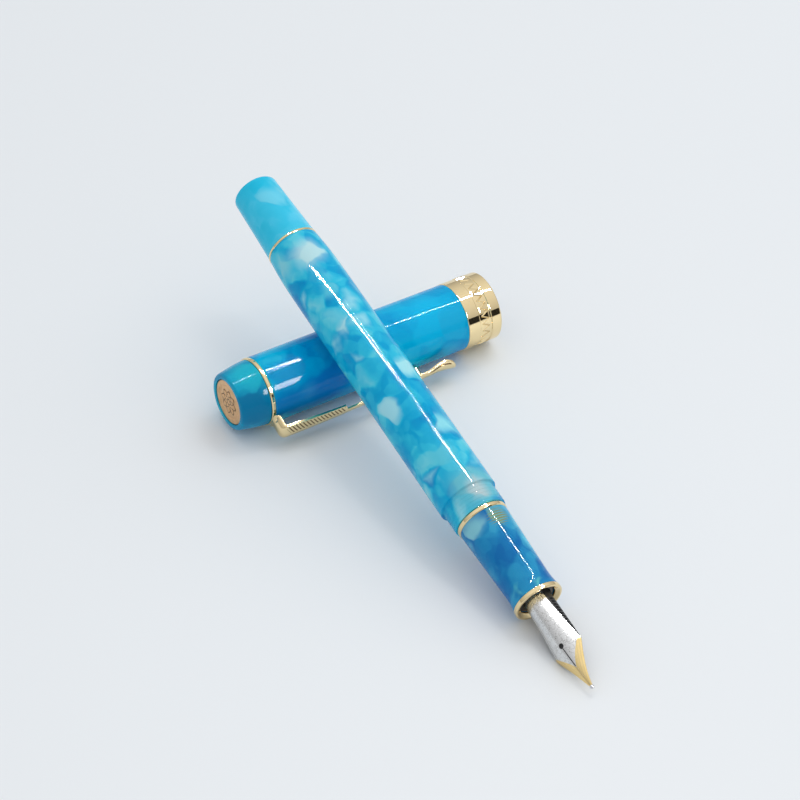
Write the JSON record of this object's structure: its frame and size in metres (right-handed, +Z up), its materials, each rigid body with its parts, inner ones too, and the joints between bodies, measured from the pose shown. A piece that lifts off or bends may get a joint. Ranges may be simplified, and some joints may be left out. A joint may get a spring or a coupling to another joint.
{
  "type": "fountain pen",
  "caption": "Fountain pen with marbled resin barrel and gold trim, its nib bare, lying across its own screw cap with clip, band and inner cap.",
  "frame": {"origin": "on the surface the pen and cap lie on, under the middle of the whole object's box", "axes": "+X towards the nib along the pen, +Y towards the cap's mouth along the cap, +Z up"},
  "size_m": [0.1272, 0.0592, 0.0315],
  "materials": {
    "marbled_resin": "polished cast acrylic, marbled in blues",
    "finial_resin": "polished cast acrylic, marbled in teal",
    "grip_resin": "polished cast acrylic, slightly translucent blue",
    "gold_plate": "polished pale gold plate on brass",
    "bronze_medallion": "satin bronze-gold, lightly grained",
    "turned_brass": "turned brass",
    "steel_stud": "turned steel",
    "two_tone_steel": "satin steel with gold-plated edges",
    "nib_tipping": "polished hard tipping alloy",
    "black_plastic": "moulded black plastic",
    "clear_plastic": "clear moulded plastic",
    "chrome_plate": "bright plated metal",
    "seal_rubber": "moulded rubber"
  },
  "bodies": {
    "cap": {"cap_tube": "marbled_resin", "cap_finial": "finial_resin", "finial_medallion": "bronze_medallion", "finial_stud": "steel_stud", "clip_ring": "gold_plate", "cap_band": "gold_plate", "inner_cap": "black_plastic"},
    "clip": {"clip_arm": "gold_plate"},
    "grip": {"section_grip": "grip_resin", "section_end_ring": "gold_plate", "section_connector": "turned_brass", "nib_housing": "black_plastic", "feed": "black_plastic", "nib": "two_tone_steel", "nib_tipping": "nib_tipping"},
    "barrel_mouth": {"mouth_ring": "gold_plate"},
    "barrel_sleeve": {"barrel_bushing": "turned_brass"},
    "barrel": {"barrel_tube": "marbled_resin", "barrel_tail": "marbled_resin", "tail_ring": "gold_plate"},
    "converter": {"converter_tube": "clear_plastic", "converter_collar": "chrome_plate"},
    "knob": {"converter_knob": "chrome_plate"},
    "piston": {"converter_seal": "seal_rubber", "converter_rod": "black_plastic"}
  },
  "joints": [
    {"name": "clip_flex", "type": "hinge", "parent": "cap", "child": "clip", "pos_m": [-0.02403, -0.02303, 0.00462], "axis": [-0.342, 0, -0.9397], "range_deg": [0, 2], "stiffness_Nm_per_rad": 0.05},
    {"name": "pen_lift", "type": "slide", "parent": "cap", "child": "grip", "axis": [0, 0, 1], "range_m": [0, 0.06]},
    {"name": "barrel_pull", "type": "slide", "parent": "grip", "child": "barrel_mouth", "axis": [-0.9787, 0, 0.2055], "range_m": [0, 0.05]},
    {"name": "barrel_advance", "type": "slide", "parent": "barrel_mouth", "child": "barrel_sleeve", "axis": [-0.9787, 0, 0.2055], "range_m": [0, 0.007]},
    {"name": "barrel_turn", "type": "hinge", "parent": "barrel_sleeve", "child": "barrel", "pos_m": [0.02242, -0.0052, 0.00921], "axis": [-0.9787, 0, 0.2055], "range_deg": [0, 2525]},
    {"name": "converter_pull", "type": "slide", "parent": "grip", "child": "converter", "axis": [-0.9787, 0, 0.2055], "range_m": [0, 0.0065]},
    {"name": "knob_turn", "type": "hinge", "parent": "converter", "child": "knob", "pos_m": [-0.01202, -0.0052, 0.01644], "axis": [0.9787, 0, -0.2055], "range_deg": [0, 1805]},
    {"name": "piston_slide", "type": "slide", "parent": "converter", "child": "piston", "axis": [-0.9787, 0, 0.2055], "range_m": [0, 0.02]}
  ],
  "couplings": [
    {"joint": "barrel_turn", "follows": "barrel_advance", "rad_per_m": 6283.2},
    {"joint": "knob_turn", "follows": "piston_slide", "rad_per_m": 1570.8}
  ]
}
